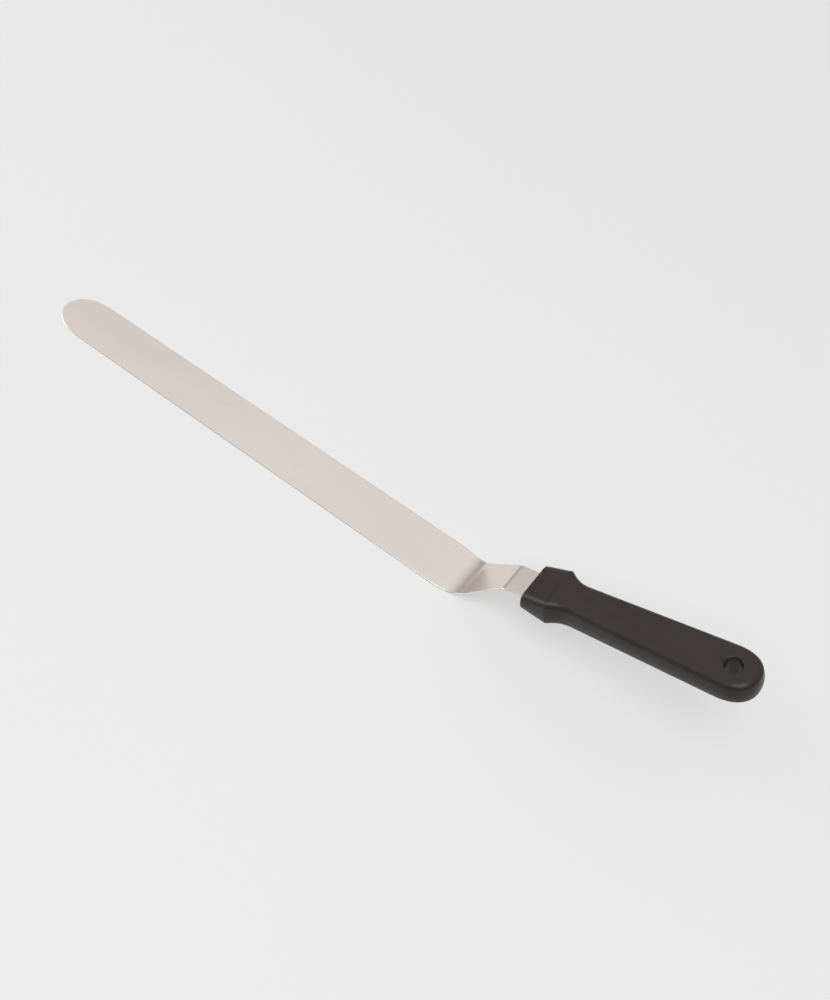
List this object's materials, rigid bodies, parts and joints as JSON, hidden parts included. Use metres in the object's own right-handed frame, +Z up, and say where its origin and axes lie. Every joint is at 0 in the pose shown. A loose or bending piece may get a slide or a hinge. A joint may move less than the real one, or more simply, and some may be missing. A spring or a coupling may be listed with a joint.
{
  "type": "palette knife",
  "caption": "Cranked palette knife: a long flexible round-tipped steel blade stepped up to a moulded handle with a hanging hole, for spreading and smoothing.",
  "frame": {"origin": "under the middle of the knife's bounding box, at the level of the blade's underside", "axes": "+X along the knife from the blade's tip to the handle's end, +Y across the blade, +Z up from the blade's flat towards the raised handle"},
  "size_m": [0.4518, 0.0296, 0.0802],
  "materials": {
    "steel": "satin ground along the blade, faintly warm",
    "plastic": "moulded near-black plastic with a soft satin sheen"
  },
  "bodies": {
    "root": {"blade": "steel", "handle": "plastic"}
  },
  "joints": []
}
